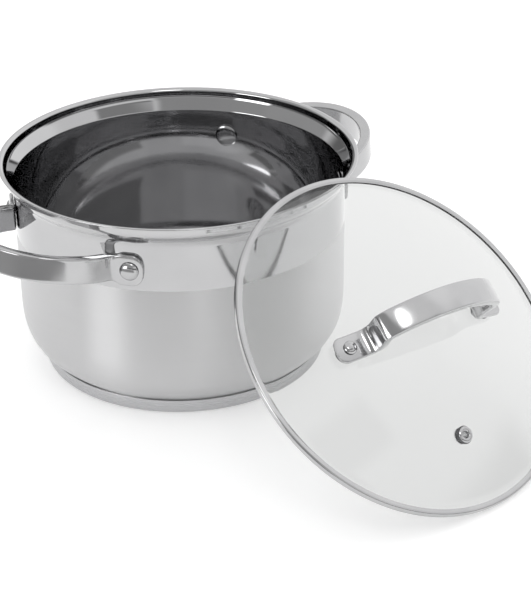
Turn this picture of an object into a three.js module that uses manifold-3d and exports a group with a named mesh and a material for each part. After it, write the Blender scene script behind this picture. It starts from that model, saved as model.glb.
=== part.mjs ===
// Two-handled cooking pot with its glass lid leaning against the rim.
// Millimetres, +Z up. The origin is the centre of the pot's underside, and +X
// runs along the line of the two side handles. The lid leans on the -Y side.
import * as THREE from 'three';
import { mergeVertices } from 'three/addons/utils/BufferGeometryUtils.js';
import Module from 'manifold-3d';

const wasm = await Module();
wasm.setup();

const TAU = Math.PI * 2;
const rad = THREE.MathUtils.degToRad;

// ---------------------------------------------------------------- driving sizes
const GAP = 0.3; // air between two pieces that touch on the real pot
const ROUND_STEPS = 48; // facets round a large ring

const pot = {
  wallR: 117.65, sheet: 0.8, // outside radius of the straight wall, steel thickness
  bellyTop: 62, bellyFoot: 13, bellyFootR: 103, bellyPower: 4.3,
  grooveR: 101.5, grooveTop: 12.2, undersideZ: 7.8,
  ledgeZ: 139.3, ledgeR: 122.8, collarZ: 147.4, flareZ: 151.4,
  lipR: 127, lipInnerR: 124.3, height: 154,
  footR: 96, footCorner: 3.4, // the underside turns up into the groove
  floorR: 88, floorBendR: 99.5, floorBendTop: 24, // the floor turns up into the wall
};

const base = { capR: 102.6, capHeight: 11, capWall: 0.8, sheet: 0.7, cornerR: 2.6, coreBevel: 2.2 };

const sideHandle = {
  plateThickness: 2.6, barDepth: 7.5, barHalf: 8.9, plateHalf: 11.2, plateCorner: 8,
  loopX: 113.4, loopHalfX: 56.2, loopHalfY: 57.2, loopEnd: rad(92),
  plateStart: rad(38.2), plateEnd: rad(29.2), crease: [106.2, 56.9],
  midZ: 119.6, riseFrom: 104, rise: 0.195, faceLean: rad(5.5), leanOver: 20,
  taperFrom: 4, taperTo: 3, deepenOver: 5, bendOver: 9, // lengths along the bar, from the plate
  nearRivetAngle: rad(33.8), farRivetAngle: rad(32),
};

const rivet = {
  shankR: 3, domeR: 6.5, domeHeight: 2.8, flangeR: 8.4, flangeHeight: 1.6, edge: 0.4,
  wallClearance: 0.85, // the wall curves away from the flat face of the flange
};

const glass = {
  thickness: 3, domeR: 330, crownZ: 20.5, domeEdgeR: 116.2, edgeR: 121.2, edgeBevel: 0.8,
};
const band = { outerR: 122.2, innerR: 117.9, depth: 4.6, sheet: 0.4, bevel: 0.8 };

const lidHandle = {
  plateThickness: 2.4, barDepth: 6.3, halfWidth: 8.7, corner: 5.5, tipS: 70.6, screwS: 60,
  plateEndS: 52, creaseS: 45.5, shoulder: [51, 46], apexZ: 62.6, archR: 80, archEndS: 38,
  legFoot: [1.5, 6.5], legTop: [1.2, 7], // offsets from the crease and from the shoulder
  deepenOver: 10, creaseOver: 11, legOver: 21, shoulderOver: 42, // lengths from the plate
};

const screw = { shankR: 2.2, headR: 4.4, headHeight: 2.3, holeR: 2.6, glassHoleR: 3.4 };
const spacer = { r: 7, thickness: 2.8 }; // silicone, between the glass and the handle
const softWasher = { r: 7, thickness: 0.9 };
const steelWasher = { r: 6, thickness: 0.8 };
const nut = { cornerR: 4.7, height: 3 };
const UNDER_GAP = 0.45; // air under the curved glass, where flat washers sit
const vent = {
  s: -4, w: -75, holeR: 4.6, tubeR: 4, boreR: 2.2, flangeR: 5.4, flangeHeight: 1.2,
  gasketR: 5.9, gasketThickness: 0.8, tubeBelow: 2.6, ringThickness: 1,
};

// The lid stands on its edge on the table and leans back on the pot's lip.
const lean = { tilt: rad(41), turn: rad(2.1), handleTurn: rad(-7.5), x: 11.9, y: -211.3 };

// ---------------------------------------------------------------- materials
function steel(colour, roughness) {
  return new THREE.MeshStandardMaterial({ color: colour, metalness: 1, roughness });
}

const polished = steel(0xd8d8da, 0.08);
const satin = steel(0xc4c4c6, 0.32);
const aluminium = steel(0xb4b6b8, 0.45);
const silicone = new THREE.MeshStandardMaterial({ color: 0x3a3a3c, roughness: 0.7 });
const clearGlass = new THREE.MeshStandardMaterial({
  color: 0xe4ebe8, roughness: 0.03, transparent: true, opacity: 0.35,
});

// ---------------------------------------------------------------- helpers
function toSolid(geometry) {
  const bare = geometry.clone();
  bare.deleteAttribute('normal');
  bare.deleteAttribute('uv');
  const merged = mergeVertices(bare, 1e-4);
  return new wasm.Manifold(new wasm.Mesh({
    numProp: 3,
    vertProperties: merged.attributes.position.array,
    triVerts: new Uint32Array(merged.index.array),
  }));
}

function cut(geometry, tools) {
  let solid = toSolid(geometry);
  for (const tool of tools) solid = solid.subtract(toSolid(tool));
  const result = solid.getMesh();
  const cutGeometry = new THREE.BufferGeometry();
  cutGeometry.setAttribute('position', new THREE.BufferAttribute(result.vertProperties, 3));
  cutGeometry.setIndex(new THREE.BufferAttribute(result.triVerts, 1));
  cutGeometry.computeVertexNormals();
  return cutGeometry;
}

function named(name, geometry, material) {
  const mesh = new THREE.Mesh(geometry, material);
  mesh.name = name;
  return mesh;
}

// Turns a profile of [radius, height] points round Z. The points run
// counter-clockwise, so that the faces look out.
function turned(points, steps) {
  const profile = points.map(([r, z]) => new THREE.Vector2(r, z));
  return new THREE.LatheGeometry(profile, steps).rotateX(Math.PI / 2);
}

function closedRing(points, steps) {
  return turned([...points, points[0]], steps);
}

function flatRing(innerR, outerR, z0, z1, steps) {
  return closedRing([[innerR, z0], [outerR, z0], [outerR, z1], [innerR, z1]], steps);
}

function rod(radius, z0, z1, steps = 16) {
  const cylinder = new THREE.CylinderGeometry(radius, radius, z1 - z0, steps);
  return cylinder.rotateX(Math.PI / 2).translate(0, 0, (z0 + z1) / 2);
}

function curvePoints(path, divisions) {
  return path.getPoints(divisions).map((point) => [point.x, point.y]);
}

// A bar bent along a path, with a flat plate at each end. The path is the line
// of the outer face in the plane of the bend, and the metal lies to its left.
// halfWidth(d) and depth(d) are the sizes at a distance d from the nearer tip,
// and place(a, b, w) puts a point of the bend into the part.
function bentBar({ path, depth, halfWidth, stations, place }) {
  const edge = { share: 0.9, thin: 0.55 }; // the long edges are rounded off
  const box = new THREE.BoxGeometry(1, 1, 1, stations.length - 1, 3, 1);
  const length = path.getLength();
  const position = box.attributes.position;
  for (let i = 0; i < position.count; i++) {
    const along = stations[Math.round((position.getX(i) + 0.5) * (stations.length - 1))];
    const across = Math.round(position.getY(i) * 6) / 3;
    const share = Math.abs(across) === 1 ? across : Math.sign(across) * edge.share;
    const thin = Math.abs(across) === 1 ? edge.thin : 1;
    const centre = path.getPoint(along);
    const tangent = path.getTangent(along);
    const tipDistance = Math.min(along, 1 - along) * length;
    const offset = depth(tipDistance) * (0.5 - position.getZ(i) * thin);
    const w = share * halfWidth(tipDistance);
    position.setXYZ(i, ...place(centre.x - tangent.y * offset, centre.y + tangent.x * offset, w));
  }
  return box;
}

// Half width near a tip whose two corners are rounded with the given radius.
function roundedTip(half, corner, distance) {
  if (distance >= corner) return half;
  return half - corner + Math.sqrt(corner ** 2 - (corner - distance) ** 2);
}

// Stations along a bar: close together where it bends, wide apart elsewhere.
function stationsOf(spans) {
  const stations = [0];
  for (const [end, count] of spans) {
    const start = stations[stations.length - 1];
    for (let i = 1; i <= count; i++) stations.push(start + ((end - start) * i) / count);
  }
  const mirrored = stations.slice(0, -1).reverse().map((u) => 1 - u);
  return [...stations, ...mirrored];
}

// ---------------------------------------------------------------- pot body and base
function bellyRadius(z) {
  const depth = (pot.bellyTop - z) / (pot.bellyTop - pot.bellyFoot);
  return pot.wallR - (pot.wallR - pot.bellyFootR) * Math.max(depth, 0) ** pot.bellyPower;
}

function bellyPoints(fromZ, inset) {
  const steps = 7;
  const points = [];
  for (let i = 0; i <= steps; i++) {
    const z = fromZ + (pot.bellyTop - fromZ) * (i / steps) ** 1.3;
    points.push([bellyRadius(z) - inset, z]);
  }
  return points;
}

function potOutside() {
  const foot = new THREE.Path();
  foot.moveTo(0, pot.undersideZ);
  foot.lineTo(pot.footR, pot.undersideZ);
  foot.quadraticCurveTo(pot.grooveR, pot.undersideZ, pot.grooveR, pot.undersideZ + pot.footCorner);
  foot.lineTo(pot.grooveR, pot.grooveTop);
  const neck = pot.sheet * 0.9;
  return [
    ...curvePoints(foot, 3),
    ...bellyPoints(pot.bellyFoot, 0),
    [pot.wallR, pot.ledgeZ - 0.3],
    [pot.ledgeR + pot.sheet, pot.collarZ - 0.3],
    [pot.ledgeR + pot.sheet, pot.flareZ + neck],
    [pot.lipInnerR + pot.sheet, pot.height - pot.sheet],
    [pot.lipR, pot.height - pot.sheet],
  ];
}

function potInside() {
  const floorZ = pot.undersideZ + pot.sheet;
  const bendTopR = bellyRadius(pot.floorBendTop) - pot.sheet * 1.15;
  const bowl = new THREE.Path();
  bowl.moveTo(0, floorZ);
  bowl.lineTo(pot.floorR, floorZ);
  bowl.quadraticCurveTo(pot.floorBendR, floorZ, bendTopR, pot.floorBendTop);
  const wall = bellyPoints(pot.floorBendTop, pot.sheet).slice(1);
  return [
    ...curvePoints(bowl, 5),
    ...wall,
    [pot.wallR - pot.sheet, pot.ledgeZ],
    [pot.ledgeR, pot.collarZ],
    [pot.ledgeR, pot.flareZ],
    [pot.lipInnerR, pot.height],
    [pot.lipR, pot.height],
  ].reverse();
}

function rivetAngles() {
  const { nearRivetAngle, farRivetAngle } = sideHandle;
  return [Math.PI - nearRivetAngle, Math.PI + nearRivetAngle, -farRivetAngle, farRivetAngle];
}

function radialHole(angle, radius) {
  const hole = rod(radius, pot.wallR - 12, pot.wallR + 12).rotateY(Math.PI / 2);
  return hole.rotateZ(angle).translate(0, 0, sideHandle.midZ);
}

function potBody() {
  const shell = turned([...potOutside(), ...potInside()], ROUND_STEPS);
  const holes = rivetAngles().map((angle) => radialHole(angle, rivet.shankR + GAP));
  return named('pot_body', cut(shell, holes), polished);
}

function baseCore() {
  const bottomZ = base.sheet + GAP;
  const rimR = base.capR - base.capWall - GAP;
  const core = [
    [0, bottomZ], [rimR - base.coreBevel, bottomZ], [rimR, bottomZ + base.coreBevel],
    [rimR, pot.undersideZ - GAP], [0, pot.undersideZ - GAP],
  ];
  return named('base_core', turned(core, ROUND_STEPS), aluminium);
}

function baseCap() {
  const outerFoot = base.capR - base.cornerR;
  const innerR = base.capR - base.capWall;
  const cup = new THREE.Path();
  cup.moveTo(0, 0);
  cup.lineTo(outerFoot, 0);
  cup.absarc(outerFoot, base.cornerR, base.cornerR, -Math.PI / 2, 0, false);
  cup.lineTo(base.capR, base.capHeight);
  const profile = [
    ...curvePoints(cup, 3),
    [innerR, base.capHeight],
    [innerR, base.cornerR + 0.2],
    [outerFoot - 0.4, base.sheet],
    [0, base.sheet],
  ];
  return named('base_cap', turned(profile, ROUND_STEPS), satin);
}

// ---------------------------------------------------------------- side handles
const plateInnerR = pot.wallR + 0.35;
const plateOuterR = plateInnerR + sideHandle.plateThickness;

function sideHandlePath() {
  const { plateStart, plateEnd, loopEnd, crease, loopX, loopHalfX, loopHalfY } = sideHandle;
  const path = new THREE.Path();
  path.absarc(0, 0, plateOuterR, -plateStart, -plateEnd, false);
  path.quadraticCurveTo(
    crease[0], -crease[1],
    loopX + loopHalfX * Math.cos(loopEnd), -loopHalfY * Math.sin(loopEnd),
  );
  path.absellipse(loopX, 0, loopHalfX, loopHalfY, -loopEnd, loopEnd, false, 0);
  path.quadraticCurveTo(
    crease[0], crease[1],
    plateOuterR * Math.cos(plateEnd), plateOuterR * Math.sin(plateEnd),
  );
  path.absarc(0, 0, plateOuterR, plateEnd, plateStart, false);
  return path;
}

function sideHandleBar() {
  const { plateThickness, barDepth, barHalf, plateHalf, plateCorner } = sideHandle;
  const { taperFrom, taperTo, deepenOver, bendOver } = sideHandle;
  const path = sideHandlePath();
  const length = path.getLength();
  const plateLength = plateOuterR * (sideHandle.plateStart - sideHandle.plateEnd);
  const halfWidth = (distance) => {
    const narrow = THREE.MathUtils.smoothstep(distance, plateLength - taperFrom, plateLength + taperTo);
    return roundedTip(THREE.MathUtils.lerp(plateHalf, barHalf, narrow), plateCorner, distance);
  };
  const depth = (distance) => {
    const deepen = THREE.MathUtils.smoothstep(distance, plateLength, plateLength + deepenOver);
    return THREE.MathUtils.lerp(plateThickness, barDepth, deepen);
  };
  // The loop climbs away from the pot and its faces lean back a little, while
  // the plates stay level. The bar's ends are cut off where they meet the wall.
  const place = (x, y, w) => {
    const { riseFrom, rise, midZ, faceLean, leanOver } = sideHandle;
    const leanBack = faceLean * THREE.MathUtils.smoothstep(x, riseFrom, riseFrom + leanOver);
    const leantX = x - w * Math.sin(leanBack);
    const stretch = Math.max(plateInnerR / Math.hypot(leantX, y), 1);
    const climb = Math.max(x - riseFrom, 0) * rise;
    return [leantX * stretch, y * stretch, midZ + w * Math.cos(leanBack) + climb];
  };
  const stations = stationsOf([
    [plateCorner / length, 4], [plateLength / length, 3],
    [(plateLength + bendOver) / length, 6], [0.5, 12],
  ]);
  return bentBar({ path, depth, halfWidth, stations, place });
}

function sideHandleMesh(name, turn, rivetAngle) {
  const holes = [-1, 1].map((side) => radialHole(side * rivetAngle, rivet.shankR + GAP));
  const mesh = named(name, cut(sideHandleBar(), holes), polished);
  mesh.rotation.z = turn;
  return mesh;
}

function rivetMesh(name, angle) {
  const domeZ = plateOuterR + GAP;
  const flangeZ = pot.wallR - pot.sheet - rivet.wallClearance;
  const profile = new THREE.Path();
  profile.moveTo(0, flangeZ - rivet.flangeHeight);
  profile.quadraticCurveTo(
    rivet.flangeR * 0.8, flangeZ - rivet.flangeHeight, rivet.flangeR, flangeZ - rivet.edge,
  );
  profile.lineTo(rivet.flangeR, flangeZ);
  profile.lineTo(rivet.shankR, flangeZ);
  profile.lineTo(rivet.shankR, domeZ);
  profile.lineTo(rivet.domeR, domeZ);
  profile.lineTo(rivet.domeR, domeZ + rivet.edge);
  profile.quadraticCurveTo(
    rivet.domeR * 0.75, domeZ + rivet.domeHeight, 0, domeZ + rivet.domeHeight,
  );
  const mesh = named(name, turned(curvePoints(profile, 3), 16), polished);
  mesh.position.z = sideHandle.midZ;
  mesh.rotation.set(0, Math.PI / 2, angle, 'ZYX');
  return mesh;
}

// ---------------------------------------------------------------- lid glass and rim
function glassTopZ(r) {
  return glass.crownZ - (glass.domeR - Math.sqrt(glass.domeR ** 2 - r ** 2));
}

// A seat on the glass: its origin is on the upper face at radius r, and its Z
// axis stands square on the glass there.
function glassSeat(r, angle) {
  const turn = new THREE.Matrix4().makeRotationZ(angle);
  const move = new THREE.Matrix4().makeTranslation(r, 0, glassTopZ(r));
  const tip = new THREE.Matrix4().makeRotationY(Math.asin(r / glass.domeR));
  return turn.multiply(move).multiply(tip);
}

const screwSeats = [
  ['left', glassSeat(lidHandle.screwS, Math.PI)],
  ['right', glassSeat(lidHandle.screwS, 0)],
];
const ventSeat = glassSeat(Math.hypot(vent.s, vent.w), Math.atan2(vent.w, vent.s));

function lidGlass() {
  const { edgeR, edgeBevel } = glass;
  const domeSteps = 7;
  const edgeTop = -band.sheet - GAP;
  const edgeBottom = -band.depth + band.sheet + GAP;
  const top = [];
  const bottom = [];
  for (let i = 0; i <= domeSteps; i++) {
    const r = (glass.domeEdgeR * i) / domeSteps;
    const lean = Math.asin(r / glass.domeR);
    top.push([r, glassTopZ(r)]);
    bottom.push([r, glassTopZ(r) - glass.thickness / Math.cos(lean)]);
  }
  const edge = [
    [band.innerR - 0.3, edgeBottom], [edgeR - edgeBevel, edgeBottom],
    [edgeR, edgeBottom + edgeBevel], [edgeR, edgeTop - edgeBevel],
    [edgeR - edgeBevel, edgeTop], [band.innerR - 0.2, edgeTop],
  ];
  const pane = turned([...bottom, ...edge, ...top.reverse()], ROUND_STEPS);
  const screwHoles = screwSeats.map(([, seat]) => (
    rod(screw.glassHoleR, -12, 6).applyMatrix4(seat)
  ));
  const ventHole = rod(vent.holeR, -12, 6).applyMatrix4(ventSeat);
  return named('lid_glass', cut(pane, [...screwHoles, ventHole]), clearGlass);
}

function lidBand() {
  const { outerR, innerR, depth, sheet, bevel } = band;
  const bottomInnerR = innerR + sheet;
  const innerBevel = bevel + 0.1;
  const channel = [
    [bottomInnerR, -depth], [outerR - bevel, -depth], [outerR, -depth + bevel],
    [outerR, -bevel], [outerR - bevel, 0], [innerR, 0], [innerR, -sheet],
    [outerR - innerBevel, -sheet], [outerR - sheet, -innerBevel],
    [outerR - sheet, -depth + innerBevel], [outerR - innerBevel, -depth + sheet],
    [bottomInnerR, -depth + sheet],
  ];
  return named('lid_rim_band', closedRing(channel, ROUND_STEPS), polished);
}

// ---------------------------------------------------------------- lid handle
const plateLift = GAP * 2 + spacer.thickness;

function plateUnderZ(s) {
  const slope = Math.tan(Math.asin(lidHandle.screwS / glass.domeR));
  return glassTopZ(lidHandle.screwS) + plateLift - (Math.abs(s) - lidHandle.screwS) * slope;
}

function lidHandlePath() {
  const { tipS, plateEndS, creaseS, shoulder, plateThickness } = lidHandle;
  const { archR, archEndS, apexZ } = lidHandle;
  const plateTop = (s) => [s, plateUnderZ(s) + plateThickness];
  const archCentreZ = apexZ - archR;
  const archEnd = [archEndS, archCentreZ + Math.sqrt(archR ** 2 - archEndS ** 2)];
  const archAngle = Math.asin(archEndS / archR);
  const crease = plateTop(creaseS);
  const legFoot = [creaseS + lidHandle.legFoot[0], crease[1] + lidHandle.legFoot[1]];
  const legTop = [shoulder[0] - lidHandle.legTop[0], shoulder[1] - lidHandle.legTop[1]];
  const tip = plateTop(tipS);
  const plateEnd = plateTop(plateEndS);
  const path = new THREE.Path();
  path.moveTo(...tip);
  path.lineTo(...plateEnd);
  path.quadraticCurveTo(...crease, ...legFoot);
  path.lineTo(...legTop);
  path.quadraticCurveTo(...shoulder, ...archEnd);
  path.absarc(0, archCentreZ, archR, Math.PI / 2 - archAngle, Math.PI / 2 + archAngle, false);
  path.quadraticCurveTo(-shoulder[0], shoulder[1], -legTop[0], legTop[1]);
  path.lineTo(-legFoot[0], legFoot[1]);
  path.quadraticCurveTo(-crease[0], crease[1], -plateEnd[0], plateEnd[1]);
  path.lineTo(-tip[0], tip[1]);
  return path;
}

function lidHandleMesh() {
  const { plateThickness, barDepth, halfWidth, corner, tipS, plateEndS } = lidHandle;
  const { deepenOver, creaseOver, legOver, shoulderOver } = lidHandle;
  const path = lidHandlePath();
  const length = path.getLength();
  const plateLength = tipS - plateEndS;
  const bar = bentBar({
    path,
    depth: (distance) => {
      const deepen = THREE.MathUtils.smoothstep(distance, plateLength, plateLength + deepenOver);
      return THREE.MathUtils.lerp(plateThickness, barDepth, deepen);
    },
    halfWidth: (distance) => roundedTip(halfWidth, corner, distance),
    stations: stationsOf([
      [corner / length, 3], [plateLength / length, 1], [(plateLength + creaseOver) / length, 6],
      [(plateLength + legOver) / length, 2], [(plateLength + shoulderOver) / length, 7], [0.5, 5],
    ]),
    place: (s, z, w) => [s, -w, Math.max(z, plateUnderZ(s))],
  });
  const holes = screwSeats.map(([, seat]) => rod(screw.holeR, -1, 12).applyMatrix4(seat));
  return named('lid_handle', cut(bar, holes), polished);
}

// Everything that clamps one foot of the handle to the glass, from the screw
// head down to the nut under the glass.
function lidScrewStack(side, seat) {
  const headZ = plateLift + lidHandle.plateThickness + GAP + 0.05;
  const underZ = -glass.thickness - UNDER_GAP;
  const steelZ = underZ - softWasher.thickness - GAP;
  const nutZ = steelZ - steelWasher.thickness - GAP;
  const tipZ = nutZ - nut.height - 1;
  const head = new THREE.Path();
  head.moveTo(0, tipZ);
  head.lineTo(screw.shankR, tipZ);
  head.lineTo(screw.shankR, headZ);
  head.lineTo(screw.headR, headZ);
  head.lineTo(screw.headR, headZ + 0.5);
  head.quadraticCurveTo(
    screw.headR * 0.8, headZ + screw.headHeight, 0, headZ + screw.headHeight,
  );
  const ring = (outerR, z0, z1) => flatRing(screw.shankR + GAP, outerR, z0, z1, 20);
  const pieces = [
    named(`lid_screw_${side}`, turned(curvePoints(head, 3), 16), polished),
    named(`silicone_spacer_${side}`, ring(spacer.r, GAP, GAP + spacer.thickness), silicone),
    named(
      `silicone_washer_${side}`, ring(softWasher.r, underZ - softWasher.thickness, underZ), silicone,
    ),
    named(
      `steel_washer_${side}`, ring(steelWasher.r, steelZ - steelWasher.thickness, steelZ), satin,
    ),
    named(`lid_nut_${side}`, nutGeometry(nutZ - nut.height, nutZ), satin),
  ];
  for (const piece of pieces) piece.applyMatrix4(seat);
  return pieces;
}

function nutGeometry(z0, z1) {
  const hexagon = new THREE.Shape();
  for (let i = 0; i < 6; i++) {
    const corner = [nut.cornerR * Math.cos((i * TAU) / 6), nut.cornerR * Math.sin((i * TAU) / 6)];
    if (i === 0) hexagon.moveTo(...corner);
    else hexagon.lineTo(...corner);
  }
  hexagon.closePath();
  hexagon.holes.push(new THREE.Path().absarc(0, 0, screw.shankR + GAP, 0, TAU, true));
  const options = { depth: z1 - z0, bevelEnabled: false, curveSegments: 16 };
  return new THREE.ExtrudeGeometry(hexagon, options).translate(0, 0, z0);
}

// ---------------------------------------------------------------- steam vent
function ventPieces() {
  const gasketZ = GAP;
  const flangeZ = gasketZ + vent.gasketThickness + GAP;
  const flangeTopZ = flangeZ + vent.flangeHeight;
  const tubeEndZ = -glass.thickness - vent.tubeBelow;
  const ringZ = -glass.thickness - UNDER_GAP;
  const { tubeR, boreR, flangeR, gasketR } = vent;
  const eyelet = [
    [boreR, tubeEndZ], [tubeR, tubeEndZ], [tubeR, flangeZ], [flangeR, flangeZ],
    [flangeR, flangeZ + 0.6], [flangeR - 1, flangeTopZ], [boreR + 0.9, flangeTopZ],
    [boreR, flangeZ + 0.5],
  ];
  const ring = (outerR, z0, z1) => flatRing(tubeR + GAP, outerR, z0, z1, 20);
  const pieces = [
    named('vent_eyelet', closedRing(eyelet, 20), polished),
    named('vent_gasket', ring(gasketR, gasketZ, gasketZ + vent.gasketThickness), silicone),
    named('vent_lower_ring', ring(flangeR, ringZ - vent.ringThickness, ringZ), satin),
  ];
  for (const piece of pieces) piece.applyMatrix4(ventSeat);
  return pieces;
}

// ---------------------------------------------------------------- assembly
const potGroup = new THREE.Group();
potGroup.add(
  potBody(), baseCore(), baseCap(),
  sideHandleMesh('near_handle', Math.PI, sideHandle.nearRivetAngle),
  sideHandleMesh('far_handle', 0, sideHandle.farRivetAngle),
);
const rivetNames = [
  'near_handle_rivet_left', 'near_handle_rivet_right',
  'far_handle_rivet_right', 'far_handle_rivet_left',
];
rivetAngles().forEach((angle, i) => potGroup.add(rivetMesh(rivetNames[i], angle)));

const lidFittings = new THREE.Group();
lidFittings.add(lidGlass(), lidHandleMesh(), ...ventPieces());
for (const [side, seat] of screwSeats) lidFittings.add(...lidScrewStack(side, seat));
lidFittings.rotation.z = lean.handleTurn;

const lidGroup = new THREE.Group();
lidGroup.add(lidBand(), lidFittings);
const lidCentreZ = band.outerR * Math.sin(lean.tilt) + band.depth * Math.cos(lean.tilt);
lidGroup.position.set(lean.x, lean.y, lidCentreZ);
lidGroup.rotation.set(lean.tilt, 0, lean.turn, 'ZYX');

const saucepan = new THREE.Group();
saucepan.add(potGroup, lidGroup);

export default saucepan;
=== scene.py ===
import math

import bmesh
import bpy
from mathutils import Matrix, Vector


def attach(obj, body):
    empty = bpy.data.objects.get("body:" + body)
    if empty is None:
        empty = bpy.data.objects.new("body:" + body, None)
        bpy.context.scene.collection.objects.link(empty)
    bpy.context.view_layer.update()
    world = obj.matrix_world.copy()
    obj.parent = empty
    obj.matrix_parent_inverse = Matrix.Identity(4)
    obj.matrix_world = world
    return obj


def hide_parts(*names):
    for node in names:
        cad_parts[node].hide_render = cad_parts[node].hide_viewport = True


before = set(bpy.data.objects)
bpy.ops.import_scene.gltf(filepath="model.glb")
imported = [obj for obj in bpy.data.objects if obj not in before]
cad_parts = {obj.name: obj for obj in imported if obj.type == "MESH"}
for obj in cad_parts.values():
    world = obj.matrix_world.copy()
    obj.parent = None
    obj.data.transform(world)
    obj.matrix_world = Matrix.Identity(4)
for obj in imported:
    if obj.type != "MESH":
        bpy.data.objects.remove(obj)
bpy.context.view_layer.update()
MM = 0.001

# ---------------------------------------------------------------- node helpers


class Nodes:
    """A small wrapper that adds and links shader nodes."""

    def __init__(self, tree):
        self.tree = tree

    def add(self, kind, inputs=None, **settings):
        node = self.tree.nodes.new(kind)
        for key, value in settings.items():
            setattr(node, key, value)
        for key, value in (inputs or {}).items():
            if isinstance(value, bpy.types.NodeSocket):
                self.tree.links.new(value, node.inputs[key])
            else:
                node.inputs[key].default_value = value
        return node

    def math(self, operation, a, b=0.0):
        return self.add("ShaderNodeMath", {0: a, 1: b}, operation=operation).outputs[0]

    def ramp(self, value, low, high, to_low, to_high):
        return self.add(
            "ShaderNodeMapRange",
            {0: value, 1: low, 2: high, 3: to_low, 4: to_high},
            interpolation_type="SMOOTHSTEP",
        ).outputs[0]

    def mix(self, factor, a, b):
        node = self.tree.nodes.new("ShaderNodeMix")
        node.data_type = "RGBA"
        for index, value in ((0, factor), (6, a), (7, b)):
            if isinstance(value, bpy.types.NodeSocket):
                self.tree.links.new(value, node.inputs[index])
            else:
                node.inputs[index].default_value = value
        return node.outputs[2]

    def noise(self, vector, scale, detail=3.0):
        return self.add(
            "ShaderNodeTexNoise", {"Vector": vector, "Scale": scale, "Detail": detail}
        ).outputs[0]

    def join(self, x, y, z):
        return self.add("ShaderNodeCombineXYZ", {0: x, 1: y, 2: z}).outputs[0]

    def split(self, vector):
        return self.add("ShaderNodeSeparateXYZ", {0: vector}).outputs

    def level_length(self, x, y):
        """The length of a vector as seen from above."""
        return self.math("SQRT", self.math("ADD", self.math("MULTIPLY", x, x),
                                           self.math("MULTIPLY", y, y)))

    def dot(self, a, b):
        return self.add("ShaderNodeVectorMath", {0: a, 1: b},
                        operation="DOT_PRODUCT").outputs["Value"]


def grey(level):
    return (level, level, level, 1)


def material(name, finish, **sockets):
    """A Principled material. finish(nodes, shader, coordinates) adds its texture."""
    made = bpy.data.materials.new(name)
    made.use_nodes = True
    tree = made.node_tree
    shader = tree.nodes["Principled BSDF"]
    for key, value in sockets.items():
        shader.inputs[key.replace("_", " ")].default_value = value
    nodes = Nodes(tree)
    coordinates = nodes.add("ShaderNodeTexCoord").outputs["Object"]
    finish(nodes, shader, coordinates)
    return made


def link(nodes, shader, key, socket):
    nodes.tree.links.new(socket, shader.inputs[key])


def add_bump(nodes, shader, height, strength, distance):
    bump = nodes.add(
        "ShaderNodeBump", {"Strength": strength, "Distance": distance, "Height": height}
    )
    link(nodes, shader, "Normal", bump.outputs[0])


GRAIN_STRETCH = 0.12  # how slowly the grain changes along its own direction


def round_grain(nodes, coordinates, fine):
    """Fine lines that run round the Z axis, as left by polishing on a lathe."""
    x, y, z = nodes.split(coordinates)
    around = nodes.math("MULTIPLY", nodes.math("ARCTAN2", y, x), GRAIN_STRETCH)
    vector = nodes.join(nodes.math("MULTIPLY", nodes.level_length(x, y), fine),
                        nodes.math("MULTIPLY", z, fine), around)
    return nodes.noise(vector, 1.0, 4.0), z


STEEL = (0.505, 0.505, 0.51, 1)
STEEL_LOW = (0.465, 0.465, 0.472, 1)
SATIN_TONE = (0.575, 0.575, 0.58, 1)
SATIN_TOP = 0.1042, 0.1048  # metres: the satin ends here and the mirror band begins
OUTSIDE = 0.004  # a wall that faces out by more than this is on the pot's outside
BRUSHED = 0.85
FLOOR_GLOW, COVERED_GLOW = 0.38, 0.72


def pot_finish(nodes, shader, coordinates):
    """Mirror band above the belly, satin below, faint smudges everywhere."""
    grain, z = round_grain(nodes, coordinates, 2600)
    smudge = nodes.noise(coordinates, 16, 4.0)
    x, y, _ = nodes.split(coordinates)
    normal = nodes.add("ShaderNodeNewGeometry").outputs["Normal"]
    outward = nodes.dot(normal, nodes.join(x, y, 0.0))
    outside = nodes.math("GREATER_THAN", outward, OUTSIDE)
    below = nodes.ramp(z, *SATIN_TOP, 1.0, 0.0)
    satin = nodes.math("MULTIPLY", outside, below)
    mirror_rough = nodes.ramp(smudge, 0.35, 0.75, 0.045, 0.085)
    satin_rough = nodes.ramp(grain, 0.3, 0.7, 0.33, 0.4)
    extra = nodes.math("MULTIPLY", nodes.math("SUBTRACT", satin_rough, mirror_rough), satin)
    link(nodes, shader, "Roughness", nodes.math("ADD", mirror_rough, extra))
    tone = nodes.mix(nodes.ramp(smudge, 0.3, 0.7, 0.0, 1.0), STEEL_LOW, STEEL)
    link(nodes, shader, "Base Color", nodes.mix(satin, tone, SATIN_TONE))
    around = nodes.add("ShaderNodeTangent", direction_type="RADIAL", axis="Z")
    link(nodes, shader, "Tangent", around.outputs[0])
    link(nodes, shader, "Anisotropic", nodes.math("MULTIPLY", satin, BRUSHED))
    scratch = nodes.math("MULTIPLY", grain, satin)
    add_bump(nodes, shader, scratch, 0.07, 0.00002)


def polished_finish(nodes, shader, coordinates):
    smudge = nodes.noise(coordinates, 38, 4.0)
    fine = nodes.noise(coordinates, 900, 2.0)
    link(nodes, shader, "Roughness", nodes.ramp(smudge, 0.3, 0.75, 0.1, 0.17))
    link(nodes, shader, "Base Color",
         nodes.mix(nodes.ramp(smudge, 0.3, 0.7, 0, 1), STEEL_LOW, STEEL))
    add_bump(nodes, shader, fine, 0.05, 0.00002)


def satin_finish(nodes, shader, coordinates):
    grain, _ = round_grain(nodes, coordinates, 2200)
    link(nodes, shader, "Roughness", nodes.ramp(grain, 0.3, 0.7, 0.24, 0.36))
    link(nodes, shader, "Base Color",
         nodes.mix(grain, (0.47, 0.47, 0.48, 1), (0.53, 0.53, 0.54, 1)))
    add_bump(nodes, shader, grain, 0.08, 0.00002)


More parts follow.
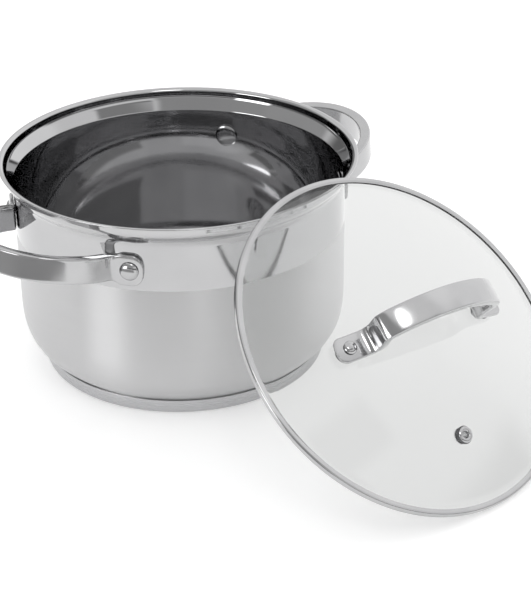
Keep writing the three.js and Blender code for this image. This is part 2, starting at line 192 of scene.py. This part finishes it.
def cast_finish(nodes, shader, coordinates):
    spots = nodes.noise(coordinates, 700, 4.0)
    link(nodes, shader, "Roughness", nodes.ramp(spots, 0.3, 0.7, 0.4, 0.6))
    link(nodes, shader, "Base Color",
         nodes.mix(spots, (0.36, 0.37, 0.38, 1), (0.5, 0.51, 0.52, 1)))
    add_bump(nodes, shader, spots, 0.25, 0.0001)


def silicone_finish(nodes, shader, coordinates):
    dust = nodes.noise(coordinates, 500, 4.0)
    link(nodes, shader, "Roughness", nodes.ramp(dust, 0.3, 0.7, 0.42, 0.62))
    link(nodes, shader, "Base Color",
         nodes.mix(dust, (0.10, 0.10, 0.105, 1), (0.16, 0.16, 0.165, 1)))
    add_bump(nodes, shader, dust, 0.2, 0.00005)


def glass_finish(nodes, shader, coordinates):
    film = nodes.noise(coordinates, 9, 3.0)
    link(nodes, shader, "Roughness", nodes.ramp(film, 0.35, 0.8, 0.0, 0.03))
    wave = nodes.noise(coordinates, 14, 1.0)
    add_bump(nodes, shader, wave, 0.05, 0.0002)


def floor_finish(nodes, shader, coordinates):
    """White paper, which is an even light grey where the lid's glass covers it."""
    fibres = nodes.noise(coordinates, 260, 3.0)
    white = nodes.mix(fibres, grey(0.80), grey(0.83))
    path = nodes.add("ShaderNodeLightPath").outputs
    direct = nodes.math("LESS_THAN", path["Glossy Depth"], 0.5)
    covered = nodes.math("MULTIPLY", path["Is Transmission Ray"], direct)
    link(nodes, shader, "Base Color", nodes.mix(covered, white, grey(0.2)))
    link(nodes, shader, "Emission Strength",
         nodes.ramp(covered, 0, 1, FLOOR_GLOW, COVERED_GLOW))
    add_bump(nodes, shader, fibres, 0.02, 0.0001)


def card_finish(nodes, shader, coordinates):
    fibres = nodes.noise(coordinates, 260, 3.0)
    link(nodes, shader, "Base Color", nodes.mix(fibres, grey(0.37), grey(0.39)))


pot_steel = material("pot_steel", pot_finish, Metallic=1.0, Anisotropic=BRUSHED,
                     Anisotropic_Rotation=0.25)
polished = material("polished_steel", polished_finish, Metallic=1.0)
satin = material("satin_steel", satin_finish, Metallic=1.0)
aluminium = material("core_aluminium", cast_finish, Metallic=1.0)
silicone = material("dark_silicone", silicone_finish)
clear = material("lid_glass", glass_finish, Transmission_Weight=1.0, IOR=1.48,
                 Base_Color=(0.87, 0.876, 0.872, 1))
paper = material("floor_paper", floor_finish, Roughness=0.9, Emission_Color=(1, 1, 1, 1))
card_paper = material("card_paper", card_finish, Roughness=0.9)

# ---------------------------------------------------------------- mesh helpers


def finish_mesh(name, mesh_data, surface, body, node, place=None, sharp=38):
    """Turns a bmesh in millimetres into a piece that stands for a CAD node."""
    bmesh.ops.recalc_face_normals(mesh_data, faces=mesh_data.faces)
    mesh_data.transform(Matrix.Scale(MM, 4))
    mesh = bpy.data.meshes.new(name)
    mesh_data.to_mesh(mesh)
    mesh_data.free()
    if place is not None:
        mesh.transform(place)
    mesh.shade_smooth()
    mesh.set_sharp_from_angle(angle=math.radians(sharp))
    mesh.materials.append(surface)
    piece = bpy.data.objects.new(name, mesh)
    bpy.context.scene.collection.objects.link(piece)
    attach(piece, body)
    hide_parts(node)
    return piece


def softened(points, closed):
    """Rounds the corners of an outline. A point is (r, z) or (r, z, radius)."""
    out = []
    for i, point in enumerate(points):
        here = Vector(point[:2])
        radius = point[2] if len(point) > 2 else 0
        if not radius or (not closed and i in (0, len(points) - 1)):
            out.append(here)
            continue
        before = Vector(points[i - 1][:2]) - here
        after = Vector(points[(i + 1) % len(points)][:2]) - here
        reach = min(radius, before.length * 0.49, after.length * 0.49)
        start, end = here + before.normalized() * reach, here + after.normalized() * reach
        for k in range(5):
            t = k / 4
            out.append(start * (1 - t) ** 2 + here * 2 * t * (1 - t) + end * t * t)
    return out


def lathe(points, steps, closed=False):
    """Turns an outline round Z. Points on the axis close the piece."""
    outline = softened(points, closed)
    made = bmesh.new()
    rings = []
    for r, z in outline:
        if r < 1e-6:
            rings.append([made.verts.new((0, 0, z))])
            continue
        rings.append([made.verts.new((r * math.cos(a), r * math.sin(a), z))
                      for a in (math.tau * k / steps for k in range(steps))])
    pairs = list(zip(rings, rings[1:] + ([rings[0]] if closed else [])))
    for low, high in pairs:
        for k in range(steps):
            corners = [low[k % len(low)], low[(k + 1) % len(low)],
                       high[(k + 1) % len(high)], high[k % len(high)]]
            corners = list(dict.fromkeys(corners))
            if len(corners) > 2:
                made.faces.new(corners)
    return made


def arc(cx, cy, rx, ry, start, end, count=60):
    return [(cx + rx * math.cos(start + (end - start) * k / count),
             cy + ry * math.sin(start + (end - start) * k / count))
            for k in range(count + 1)]


def bend(a, b, c, count=40):
    return [tuple((1 - t) ** 2 * a[i] + 2 * t * (1 - t) * b[i] + t * t * c[i] for i in (0, 1))
            for t in (k / count for k in range(count + 1))]


def even_line(points, step, ease):
    """The points at even steps along a line, with its kinks eased over a length."""
    line = [Vector(points[0])]
    for point in points[1:]:
        if (Vector(point) - line[-1]).length > 1e-6:
            line.append(Vector(point))
    lengths = [0.0]
    for a, b in zip(line, line[1:]):
        lengths.append(lengths[-1] + (b - a).length)
    count = round(lengths[-1] / step)
    out, j = [], 0
    for k in range(count + 1):
        want = lengths[-1] * k / count
        while j < len(line) - 2 and lengths[j + 1] < want:
            j += 1
        t = (want - lengths[j]) / (lengths[j + 1] - lengths[j])
        out.append(line[j].lerp(line[j + 1], t))
    reach = round(ease / step)
    for _ in range(2):
        eased = list(out)
        for k in range(1, count):
            near = min(reach, k, count - k)
            span = out[k - near:k + near + 1]
            eased[k] = sum(span, Vector((0, 0))) / len(span)
        out = eased
    return out, lengths[-1]


def bar(line, length, depth, half, place, edge, crown=0.0):
    """A bar with rounded edges along a line, which is its outer face."""
    quarter = [math.pi / 2 * k / 5 for k in range(6)]
    face = [0.8, 0.6, 0.4, 0.2, 0, -0.2, -0.4, -0.6, -0.8]
    made = bmesh.new()
    rings = []
    last = len(line) - 1
    for k, centre in enumerate(line):
        tangent = (line[min(k + 1, last)] - line[max(k - 1, 0)]).normalized()
        inward = Vector((-tangent.y, tangent.x))
        distance = min(k, last - k) * length / last
        w, d = half(distance), depth(distance)
        e = min(edge, d * 0.42, w * 0.42)
        section = []
        for sx, sd in ((1, 0), (1, 1), (-1, 1), (-1, 0)):
            for a in quarter if (sx > 0) == (sd > 0) else quarter[::-1]:
                into = d - e + e * math.sin(a) if sd else e - e * math.sin(a) + crown
                section.append((sx * (w - e + e * math.cos(a)), into))
        section += [(-(w - e) * u, crown * u * u) for u in face]
        rings.append([made.verts.new(place(*(centre + inward * into), across))
                      for across, into in section])
    size = len(rings[0])
    for a, b in zip(rings, rings[1:]):
        for k in range(size):
            made.faces.new((a[k], a[(k + 1) % size], b[(k + 1) % size], b[k]))
    for ring in (rings[0], rings[-1][::-1]):
        made.faces.new(ring)
    return made


def smoothstep(value, low, high):
    t = min(max((value - low) / (high - low), 0), 1)
    return t * t * (3 - 2 * t)


def tip(half, corner, distance):
    if distance >= corner:
        return half
    return half - corner + math.sqrt(max(corner ** 2 - (corner - distance) ** 2, 0))


# ---------------------------------------------------------------- pot body and base
WALL_R, SHEET = 117.65, 0.8
BELLY_TOP, BELLY_FOOT, BELLY_FOOT_R, BELLY_POWER = 62, 13, 103, 4.3
MID_Z = 119.6


def belly(z):
    share = max((BELLY_TOP - z) / (BELLY_TOP - BELLY_FOOT), 0)
    return WALL_R - (WALL_R - BELLY_FOOT_R) * share ** BELLY_POWER


outside = [(0, 7.8), (96, 7.8, 4), (101.5, 7.8, 3.4), (101.5, 11.9, 0.3), (102.3, 12.2, 0.3)]
outside += [(belly(z), z) for z in (13 + 1.6 * k for k in range(31))]
outside += [(WALL_R, 80), (WALL_R, 104.5), (WALL_R, 139, 3), (123.6, 147.1, 1.6), (123.6, 152, 1),
            (125.1, 153.2, 0.5), (126.9, 153.2, 0.25)]
inside = [(127, 153.6, 0.3), (126.8, 154, 0.25), (124.7, 154, 0.9), (123.1, 152.6, 0.8),
          (122.8, 147.4, 2.4), (WALL_R - SHEET, 139.3, 0.7), (WALL_R - SHEET, 104), (WALL_R - SHEET, 80)]
inside += [(belly(z) - SHEET, z) for z in (62 - 1.5 * k for k in range(22))]
bowl = bend((belly(29) - SHEET, 29), (103.5, 8.9), (88, 8.6), 24)
inside += bowl + [(60, 8.6), (30, 8.6), (0, 8.6)]
finish_mesh("pot_shell", lathe(outside + inside, 256), pot_steel, "pot", "pot_body",
            sharp=50)

core = [(0, 1), (99.3, 1, 2), (101.5, 3.2, 1), (101.5, 7.5, 0.3), (0, 7.5)]
finish_mesh("base_disc_core", lathe(core, 128), aluminium, "pot", "base_core")
cap = [(0, 0), (100, 0, 2), (102.6, 2.6, 2), (102.6, 11, 0.4), (101.8, 11, 0.3), (101.8, 2.8, 1.6),
       (99.6, 0.7, 0.5), (0, 0.7)]
finish_mesh("base_disc_cap", lathe(cap, 192), satin, "pot", "base_cap")

# ---------------------------------------------------------------- side handles
PLATE, BAR = 2.6, 7.5  # thickness of the plate on the wall, and of the bar
PLATE_HALF, BAR_HALF, PLATE_CORNER = 11.2, 8.9, 8
RISE_FROM, RISE, LEAN, LEAN_OVER = 104, 0.195, math.radians(5.5), 20
INNER_R = WALL_R + 0.35
OUTER_R = INNER_R + PLATE
PLATE_START, PLATE_END, LOOP_END = math.radians(38.2), math.radians(29.2), math.radians(92)
LOOP_X, LOOP_HX, LOOP_HY, CREASE = 113.4, 56.2, 57.2, (106.2, 56.9)


def side_line():
    foot = arc(0, 0, OUTER_R, OUTER_R, -PLATE_START, -PLATE_END, 24)
    loop = arc(LOOP_X, 0, LOOP_HX, LOOP_HY, -LOOP_END, LOOP_END, 240)
    low = bend(foot[-1], (CREASE[0], -CREASE[1]), loop[0])
    high = [(x, -y) for x, y in reversed(low)]
    top = [(x, -y) for x, y in reversed(foot)]
    return even_line(foot + low + loop + high + top, 0.7, 0.7)


def side_place(x, y, w):
    lean = LEAN * smoothstep(x, RISE_FROM, RISE_FROM + LEAN_OVER)
    leant = x - w * math.sin(lean)
    stretch = max(INNER_R / math.hypot(leant, y), 1)
    climb = max(x - RISE_FROM, 0) * RISE
    return (leant * stretch, y * stretch, MID_Z + w * math.cos(lean) + climb)


def side_handle(name, node, turn):
    line, length = side_line()
    plate = OUTER_R * (PLATE_START - PLATE_END)

    def half(distance):
        narrow = smoothstep(distance, plate - 4, plate + 3)
        return tip(PLATE_HALF + (BAR_HALF - PLATE_HALF) * narrow, PLATE_CORNER, distance)

    def depth(distance):
        return PLATE + (BAR - PLATE) * smoothstep(distance, plate, plate + 5)

    made = bar(line, length, depth, half, side_place, 1.1)
    made.transform(Matrix.Rotation(turn, 4, "Z"))
    finish_mesh(name, made, polished, "pot", node)


side_handle("near_loop_handle", "near_handle", math.pi)
side_handle("far_loop_handle", "far_handle", 0)

DOME_HEAD_R, DOME_RISE, FLANGE_R, FLANGE_RISE, SHANK_R = 6.5, 2.8, 8.4, 1.6, 3
dome_z = OUTER_R + 0.3
flange_z = WALL_R - SHEET - 0.85


def rivet_piece(name, node, angle):
    dome_top, flange_top = dome_z + DOME_RISE, flange_z - FLANGE_RISE
    dome = bend((DOME_HEAD_R, dome_z + 0.4), (DOME_HEAD_R * 0.75, dome_top), (0, dome_top), 12)
    head = bend((0, flange_top), (FLANGE_R * 0.8, flange_top), (FLANGE_R, flange_z - 0.4), 12)
    outline = head + [(FLANGE_R, flange_z, 0.2), (SHANK_R, flange_z), (SHANK_R, dome_z),
                      (DOME_HEAD_R, dome_z, 0.2)] + dome
    made = lathe(outline, 48)
    made.transform(Matrix.Translation((0, 0, MID_Z)) @ Matrix.Rotation(angle, 4, "Z")
                   @ Matrix.Rotation(math.pi / 2, 4, "Y"))
    finish_mesh(name, made, polished, "pot", node)


NEAR, FAR = math.radians(33.8), math.radians(32)
rivet_piece("near_rivet_left", "near_handle_rivet_left", math.pi - NEAR)
rivet_piece("near_rivet_right", "near_handle_rivet_right", math.pi + NEAR)
rivet_piece("far_rivet_right", "far_handle_rivet_right", -FAR)
rivet_piece("far_rivet_left", "far_handle_rivet_left", FAR)

# ---------------------------------------------------------------- lid
DOME_R, CROWN_Z, GLASS_T = 330, 20.5, 3.0
BAND_R, BAND_IN, BAND_DEPTH = 122.2, 117.9, 4.6
TILT, TURN, HANDLE_TURN = math.radians(41), math.radians(2.1), math.radians(-7.5)
lid_z = BAND_R * math.sin(TILT) + BAND_DEPTH * math.cos(TILT)
lid_place = (Matrix.Translation(Vector((11.9, -211.3, lid_z)) * MM)
             @ Matrix.Rotation(TURN, 4, "Z") @ Matrix.Rotation(TILT, 4, "X"))
handle_place = lid_place @ Matrix.Rotation(HANDLE_TURN, 4, "Z")


def top_z(r):
    return CROWN_Z - (DOME_R - math.sqrt(DOME_R ** 2 - r ** 2))


dome = [116.2 * k / 26 for k in range(27)]
pane = [(r, top_z(r) - GLASS_T / math.cos(math.asin(r / DOME_R))) for r in dome]
pane += [(117.6, -3.9), (120.6, -3.9, 0.8), (121.2, -3.2, 0.6), (121.2, -1.4, 0.6),
         (120.5, -0.7, 0.6), (117.7, -0.7)]
pane += [(r, top_z(r)) for r in reversed(dome)]
finish_mesh("lid_pane", lathe(pane, 256), clear, "lid", "lid_glass", lid_place)

channel = [(118.3, -4.6, 0.2), (121.4, -4.6, 0.7), (BAND_R, -3.8, 0.7), (BAND_R, -0.9, 0.7),
           (121.3, 0, 0.8), (119.6, 0, 0.9), (BAND_IN, -0.32, 0.1), (BAND_IN, -0.45, 0.05),
           (121.3, -0.45, 0.4),
           (121.8, -0.9, 0.3), (121.8, -3.7, 0.3), (121.3, -4.2, 0.4), (118.3, -4.2, 0.1)]
finish_mesh("lid_rim", lathe(channel, 256, closed=True), polished, "lid", "lid_rim_band",
            lid_place)

SCREW_S, TIP_S, PLATE_END_S, CREASE_S, SHOULDER = 60, 70.6, 52, 45.5, (51, 46)
APEX_Z, ARCH_R, ARCH_END_S = 62.6, 80, 38
PLATE_T, BOW_T, BOW_HALF, BOW_CORNER, LIFT = 2.4, 6.3, 8.7, 5.5, 3.4
SLOPE = math.tan(math.asin(SCREW_S / DOME_R))


def plate_under(s):
    return top_z(SCREW_S) + LIFT - (abs(s) - SCREW_S) * SLOPE


def lid_line():
    def plate(s):
        return (s, plate_under(s) + PLATE_T)

    centre = APEX_Z - ARCH_R
    turn = math.asin(ARCH_END_S / ARCH_R)
    arch = arc(0, centre, ARCH_R, ARCH_R, math.pi / 2 - turn, math.pi / 2, 80)
    crease = plate(CREASE_S)
    foot, leg = (CREASE_S + 1.5, crease[1] + 6.5), (SHOULDER[0] - 1.2, SHOULDER[1] - 7)
    right = [plate(TIP_S), plate(PLATE_END_S)]
    right += bend(plate(PLATE_END_S), crease, foot) + bend(leg, SHOULDER, arch[0]) + arch
    left = [(-x, z) for x, z in reversed(right)]
    return even_line(right + left, 0.7, 2.0)


def lid_handle():
    line, length = lid_line()
    plate = TIP_S - PLATE_END_S

    def depth(distance):
        return PLATE_T + (BOW_T - PLATE_T) * smoothstep(distance, plate, plate + 10)

    def half(distance):
        return tip(BOW_HALF, BOW_CORNER, distance)

    def place(s, z, w):
        return (s, -w, max(z, plate_under(s)))

    made = bar(line, length, depth, half, place, 1.0, 0.3)
    finish_mesh("lid_bow_handle", made, polished, "lid", "lid_handle",
                handle_place)


lid_handle()


def seat(r, angle):
    move = Matrix.Translation(Vector((r, 0, top_z(r))) * MM)
    lean = Matrix.Rotation(math.asin(r / DOME_R), 4, "Y")
    return handle_place @ Matrix.Rotation(angle, 4, "Z") @ move @ lean


def ring(inner, outer, z0, z1, soft):
    return lathe([(inner, z0, soft), (outer, z0, soft), (outer, z1, soft), (inner, z1, soft)],
                 48, closed=True)


def nut(z0, z1):
    made = bmesh.new()
    rings = []
    for z, radius in ((z0, 4.3), (z0 + 0.35, 4.7), (z1 - 0.35, 4.7), (z1, 4.3)):
        rings.append([made.verts.new((radius * math.cos(a), radius * math.sin(a), z))
                      for a in (math.tau * k / 6 for k in range(6))])
    bore = [[made.verts.new((2.5 * math.cos(a), 2.5 * math.sin(a), z))
             for a in (math.tau * k / 6 for k in range(6))] for z in (z1, z0)]
    loops = rings + bore
    for a, b in zip(loops, loops[1:] + loops[:1]):
        for k in range(6):
            made.faces.new((a[k], a[(k + 1) % 6], b[(k + 1) % 6], b[k]))
    return made


def screw_stack(side, place):
    head_z = LIFT + PLATE_T + 0.35
    under = -GLASS_T - 0.45
    steel_z = under - 0.9 - 0.3
    nut_z = steel_z - 0.8 - 0.3
    dome_top = bend((4.4, head_z + 0.5), (3.52, head_z + 2.3), (0, head_z + 2.3), 12)
    shank = [(0, nut_z - 4), (1.7, nut_z - 4), (2.2, nut_z - 3.5), (2.2, head_z),
             (4.4, head_z, 0.15)] + dome_top
    for name, made, surface, node, slot in (
        ("lid_bolt_", lathe(shank, 40), polished, "lid_screw_", "rivet_steel"),
        ("spacer_", ring(2.5, 7, 0.3, 3.1, 0.5), silicone, "silicone_spacer_", "dark_silicone"),
        ("soft_washer_", ring(2.5, 7, under - 0.9, under, 0.25), silicone, "silicone_washer_",
         "dark_silicone"),
        ("flat_washer_", ring(2.5, 6, steel_z - 0.8, steel_z, 0.15), satin, "steel_washer_",
         "satin_steel"),
        ("hex_nut_", nut(nut_z - 3, nut_z), satin, "lid_nut_", "satin_steel"),
    ):
        finish_mesh(name + side, made, surface, "lid", node + side, place, sharp=30)


screw_stack("left", seat(SCREW_S, math.pi))
screw_stack("right", seat(SCREW_S, 0))

vent_s, vent_w = -4, -75
vent_place = seat(math.hypot(vent_s, vent_w), math.atan2(vent_w, vent_s))
flange = 1.4
eyelet = [(2.2, -GLASS_T - 2.6, 0.2), (4, -GLASS_T - 2.6, 0.3), (4, flange), (5.4, flange, 0.2),
          (5.4, flange + 0.6, 0.4), (4.4, flange + 1.2, 0.4), (3.1, flange + 1.2, 0.4),
          (2.2, flange + 0.5, 0.4)]
finish_mesh("vent_tube", lathe(eyelet, 48, closed=True), polished, "lid", "vent_eyelet",
            vent_place)
finish_mesh("vent_seal", ring(4.3, 5.9, 0.3, 1.1, 0.2), silicone, "lid", "vent_gasket",
            vent_place)
finish_mesh("vent_under_ring", ring(4.3, 5.4, -GLASS_T - 1.45, -GLASS_T - 0.45, 0.2), satin,
            "lid", "vent_lower_ring", vent_place)

# ---------------------------------------------------------------- floor, light, camera
floor_mesh = bpy.data.meshes.new("floor")
shape = bmesh.new()
bmesh.ops.create_grid(shape, x_segments=8, y_segments=8, size=9)
shape.to_mesh(floor_mesh)
shape.free()
floor_mesh.materials.append(paper)
floor = bpy.data.objects.new("floor", floor_mesh)
floor.location.z = -0.0004
bpy.context.scene.collection.objects.link(floor)

world = bpy.data.worlds.new("studio")
bpy.context.scene.world = world
world.use_nodes = True
sky = Nodes(world.node_tree)
direction = sky.add("ShaderNodeTexCoord").outputs["Generated"]
x, y, height = sky.split(direction)
level_length = sky.level_length(x, y)


def sine(degrees):
    return math.sin(math.radians(degrees))


def softbox(tone, azimuth, half_width, low, high, soft, level):
    """Gives part of the sky another level. The angles are in degrees."""
    a = math.radians(azimuth)
    along = sky.math("ADD", sky.math("MULTIPLY", x, math.cos(a)),
                     sky.math("MULTIPLY", y, math.sin(a)))
    across = sky.ramp(sky.math("DIVIDE", along, level_length),
                      math.cos(math.radians(half_width + soft)),
                      math.cos(math.radians(half_width)), 0, 1)
    rise = sky.ramp(height, sine(low - soft), sine(low), 0, 1)
    fall = sky.ramp(height, sine(high), sine(min(high + soft, 90)), 1, 0)
    share = sky.math("MULTIPLY", across, sky.math("MULTIPLY", rise, fall))
    return sky.mix(share, tone, grey(level))


# A dark horizon under a bright ceiling.
tone = sky.mix(sky.ramp(height, sine(9), sine(18), 0, 1), grey(0.2), grey(0.98))
# azimuth, half width, low edge, high edge, softness, level
for panel in (
    (138, 26, 14, 48, 7, 0.48),  # dim, behind on the left
    (-157, 38, 20, 48, 9, 0.45),  # dim, left of the camera
    (6, 32, 1, 54, 12, 1.15),  # a wide light wall on the right
    (-88, 20, 36, 44, 5, 0.35),  # dim, right of the camera
    (-37, 6, 50, 60, 16, 1.2),
    (178, 9, 1, 18, 5, 4.6),  # a low bright window on the left
):
    tone = softbox(tone, *panel)
# A small round lamp overhead, and plain white where the camera sees the sky.
to_lamp = sky.dot(direction, Vector((-0.27, -0.45, 0.85)).normalized())
tone = sky.mix(sky.ramp(to_lamp, sine(82), sine(83), 0, 1), tone, grey(5))
seen = sky.add("ShaderNodeLightPath").outputs["Is Camera Ray"]
tone = sky.mix(seen, tone, grey(1))
world.node_tree.links.new(tone, world.node_tree.nodes["Background"].inputs[0])


key_at, key_aim = Vector((-0.9, 0.9, 1.7)), Vector((0, -0.08, 0.08))
key_light = bpy.data.lights.new("key", "AREA")
key_light.size = 1.4
key_light.energy = 6
key = bpy.data.objects.new("key", key_light)
key.location = key_at
key.rotation_euler = (key_aim - key_at).to_track_quat("-Z", "Y").to_euler()
key.visible_glossy = False
bpy.context.scene.collection.objects.link(key)

# A dark card, part of a flat ring, lies on the table in front. Only reflections show it.
CARD_STEPS, CARD_START, CARD_SPAN, CARD_RADII = 24, 162, 73, (0.42, 1.8)
card_mesh = bpy.data.meshes.new("dark_card")
shape = bmesh.new()
inner, outer = [
    [shape.verts.new((r * math.cos(a), r * math.sin(a), 0))
     for a in (math.radians(CARD_START + CARD_SPAN * k / CARD_STEPS)
               for k in range(CARD_STEPS + 1))]
    for r in CARD_RADII
]
for k in range(CARD_STEPS):
    shape.faces.new((inner[k], outer[k], outer[k + 1], inner[k + 1]))
shape.to_mesh(card_mesh)
shape.free()
card_mesh.materials.append(card_paper)
card = bpy.data.objects.new("dark_card", card_mesh)
card.location.z = 0.002
for ray in ("camera", "diffuse", "transmission", "shadow", "volume_scatter"):
    setattr(card, "visible_" + ray, False)
bpy.context.scene.collection.objects.link(card)

forward = Vector((0.59312, 0.65468, -0.46862)).normalized()
level = forward.cross(Vector((0, 0, 1))).normalized()
roll = -0.0127
right = level * math.cos(roll) + level.cross(forward) * math.sin(roll)
up = right.cross(forward)
lens = bpy.data.cameras.new("camera")
lens.sensor_fit = "HORIZONTAL"
lens.sensor_width = 36
lens.lens = 120.61
lens.clip_end = 50
camera = bpy.data.objects.new("camera", lens)
camera.matrix_world = (Matrix.Translation((-0.73410, -0.90009, 0.65018))
                       @ Matrix((right, up, -forward)).transposed().to_4x4())
bpy.context.scene.collection.objects.link(camera)
bpy.context.scene.camera = camera
bpy.context.scene.view_settings.view_transform = "Standard"
bpy.context.scene.cycles.max_bounces = 20
bpy.context.scene.cycles.glossy_bounces = 16
